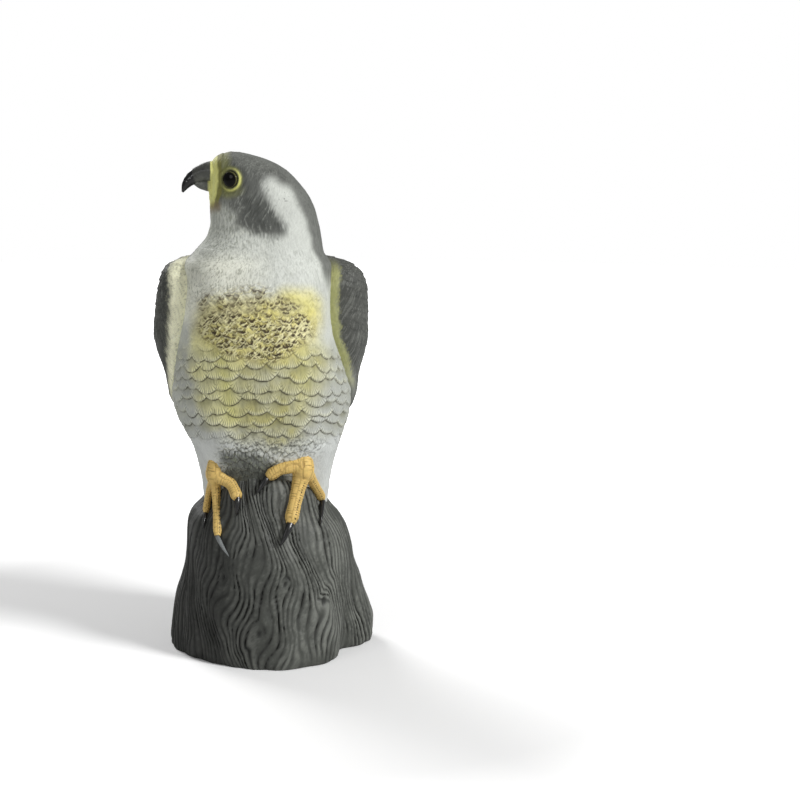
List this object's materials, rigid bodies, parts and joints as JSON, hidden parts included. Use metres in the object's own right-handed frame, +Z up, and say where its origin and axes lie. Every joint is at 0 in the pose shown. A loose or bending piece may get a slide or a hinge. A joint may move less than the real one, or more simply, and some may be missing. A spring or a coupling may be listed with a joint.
{
  "type": "bird decoy",
  "caption": "Upright falcon decoy on a hollow stump, head turned to its right, with folded wings, ridged tail, taloned feet and a filler plug under the base.",
  "frame": {"origin": "middle of the footprint on the ground, under the stump", "axes": "+Z up; the bird's breast faces -Y, its head looks towards -X, and its tail is at +Y"},
  "size_m": [0.1758, 0.1687, 0.4],
  "materials": {
    "stump_shell": "matte charcoal paint",
    "body_shell": "matte cream paint with dark feather edges",
    "head_shell": "matte slate paint",
    "upper_beak": "satin black paint",
    "lower_beak": "satin black paint",
    "left_eye": "glossy black",
    "right_eye": "glossy black",
    "left_wing": "matte charcoal paint",
    "right_wing": "matte charcoal paint",
    "tail": "matte charcoal paint",
    "left_foot": "matte ochre paint",
    "right_foot": "matte ochre paint",
    "left_talon_1": "satin black paint",
    "left_talon_2": "satin black paint",
    "left_talon_3": "satin black paint",
    "right_talon_1": "satin black paint",
    "right_talon_2": "satin black paint",
    "right_talon_3": "satin black paint",
    "base_plate": "matte charcoal paint",
    "filler_plug": "black polyethylene"
  },
  "bodies": {
    "decoy": {"stump_shell": "stump_shell", "body_shell": "body_shell", "head_shell": "head_shell", "upper_beak": "upper_beak", "lower_beak": "lower_beak", "left_eye": "left_eye", "right_eye": "right_eye", "left_wing": "left_wing", "right_wing": "right_wing", "tail": "tail", "left_foot": "left_foot", "right_foot": "right_foot", "left_talon_1": "left_talon_1", "left_talon_2": "left_talon_2", "left_talon_3": "left_talon_3", "right_talon_1": "right_talon_1", "right_talon_2": "right_talon_2", "right_talon_3": "right_talon_3", "base_plate": "base_plate"},
    "plug": {"filler_plug": "filler_plug"}
  },
  "joints": [
    {"name": "filler_plug_slide", "type": "slide", "parent": "decoy", "child": "plug", "axis": [0, 0, -1], "range_m": [0, 0.03]}
  ]
}
